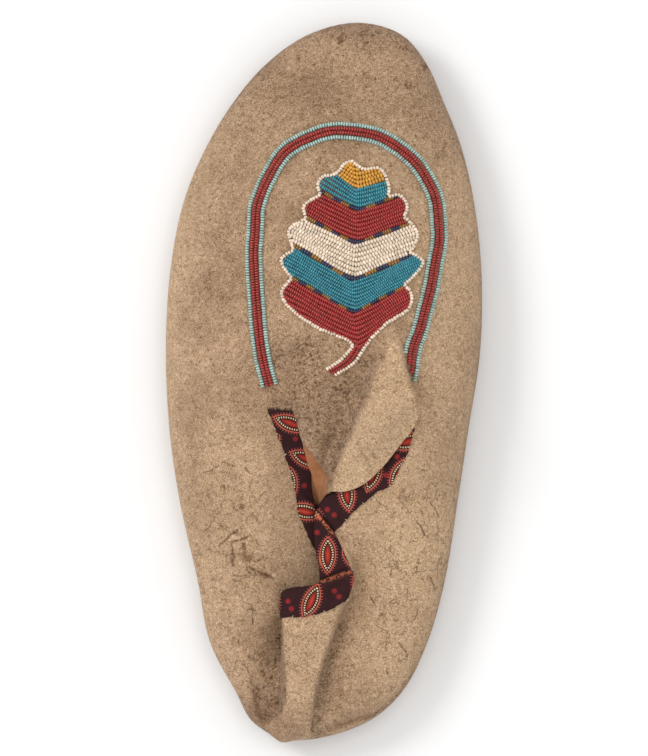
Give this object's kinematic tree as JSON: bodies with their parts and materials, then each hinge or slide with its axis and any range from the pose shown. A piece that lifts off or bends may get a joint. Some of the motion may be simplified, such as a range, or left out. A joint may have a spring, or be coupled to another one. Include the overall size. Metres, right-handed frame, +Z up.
{
  "type": "beaded moccasin",
  "caption": "Soft hide moccasin for the left foot, empty and slack, with a cotton-bound collar, a folded heel, a beaded U band and a beaded leaf on the vamp.",
  "frame": {"origin": "centre of the bounding box in plan, on the floor under the sole", "axes": "+X to the medial (inner) side of the left foot, +Y from heel to toe, +Z up"},
  "size_m": [0.1188, 0.2692, 0.0487],
  "materials": {
    "sole_hide": "scuffed suede",
    "hide": "smoked suede",
    "tongue_hide": "smoked suede",
    "calico": "printed plain weave",
    "beads": "opaque gloss"
  },
  "bodies": {
    "root": {"sole": "sole_hide", "upper": "hide", "tongue": "tongue_hide", "collar_binding": "calico", "bead_band": "beads", "bead_leaf": "beads"}
  },
  "joints": []
}
